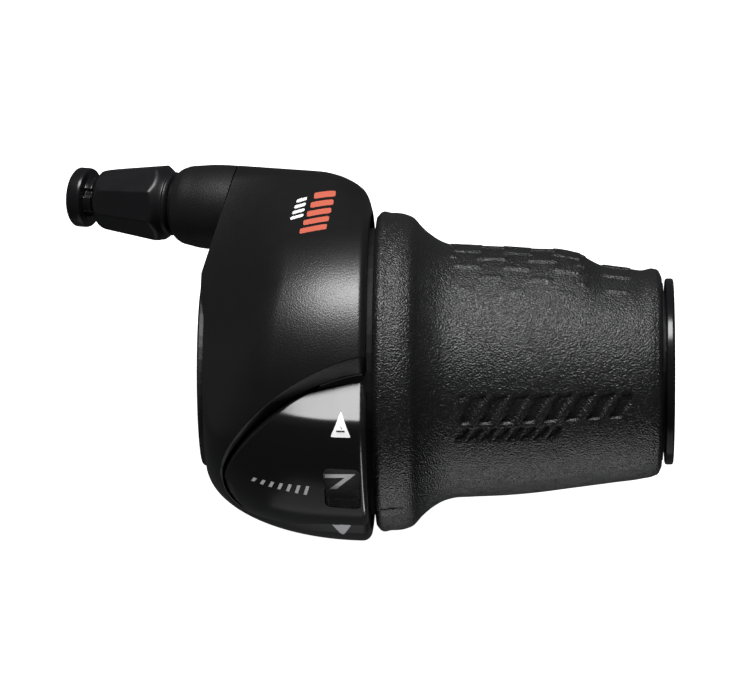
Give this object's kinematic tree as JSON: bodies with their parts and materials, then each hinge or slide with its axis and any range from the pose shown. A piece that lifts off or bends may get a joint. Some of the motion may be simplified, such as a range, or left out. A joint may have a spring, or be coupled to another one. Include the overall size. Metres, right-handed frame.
{
  "type": "twist-grip gear shifter",
  "caption": "Handlebar twist shifter with a display window, a rubber grip on a turning core, and an angled cable outlet with a screw adjuster.",
  "frame": {"origin": "on the handlebar's axis, in the plane of the clamp bolt", "axes": "+X along the handlebar towards its end, +Y forwards, +Z towards the rider, out of the display side"},
  "size_m": [0.0993, 0.0611, 0.0547],
  "materials": {
    "gloss_cover": "semi-gloss black moulding with a soft highlight",
    "mirror_panel": "mirror-gloss black with pale printed marks",
    "smoked_window": "smoked dark grey lens, polished",
    "matte_nylon": "glass-filled nylon, fine spark-eroded texture",
    "matte_sleeve": "fine matte texture",
    "barrel_plastic": "satin black with worn-smooth edges",
    "plug_plastic": "semi-gloss black polyethylene",
    "gloss_ring": "semi-gloss black",
    "grip_rubber": "leather-grain black rubber",
    "seal_rubber": "smooth black rubber",
    "core_plastic": "moulded black plastic",
    "number_ring": "dark grey with white printed numbers",
    "grey_acetal": "grey acetal",
    "liner": "white low-friction acetal",
    "brass": "turned brass",
    "steel": "zinc-plated steel"
  },
  "bodies": {
    "housing": {"bracket": "matte_nylon", "housing_cover": "gloss_cover", "lower_cover": "matte_nylon", "indicator_panel": "mirror_panel", "window_lens": "smoked_window", "cover_screw_1": "steel", "cover_screw_2": "steel", "clamp_bolt": "steel", "clamp_nut": "steel", "outlet_sleeve": "matte_sleeve", "adjuster_nut": "brass", "adjuster_spring": "steel", "detent_spring": "steel", "cable_guide": "liner", "end_ring": "gloss_ring", "thrust_washer": "liner", "access_plug": "matte_nylon"},
    "grip": {"grip_core": "core_plastic", "grip_sleeve": "grip_rubber", "cable_drum": "grey_acetal", "index_ring": "liner", "number_ring": "number_ring"},
    "casing_plug": {"casing_plug": "plug_plastic"},
    "adjuster": {"adjuster_barrel": "barrel_plastic", "adjuster_o_ring": "seal_rubber"}
  },
  "joints": [
    {"name": "grip_turn", "type": "hinge", "parent": "housing", "child": "grip", "pos_m": [0, 0, 0], "axis": [-1, 0, 0], "range_deg": [0, 96], "deforming": ["detent_spring"]},
    {"name": "adjuster_travel", "type": "slide", "parent": "housing", "child": "casing_plug", "axis": [-0.9428, 0.0773, -0.3243], "range_m": [-0.0004, 0.0032], "deforming": ["adjuster_spring"]},
    {"name": "adjuster_turn", "type": "hinge", "parent": "casing_plug", "child": "adjuster", "pos_m": [-0.005, 0.0269, -0.008], "axis": [-0.9428, 0.0773, -0.3243], "range_deg": [-181, 1441]}
  ],
  "couplings": [
    {"joint": "adjuster_turn", "follows": "adjuster_travel", "rad_per_m": 7854}
  ]
}
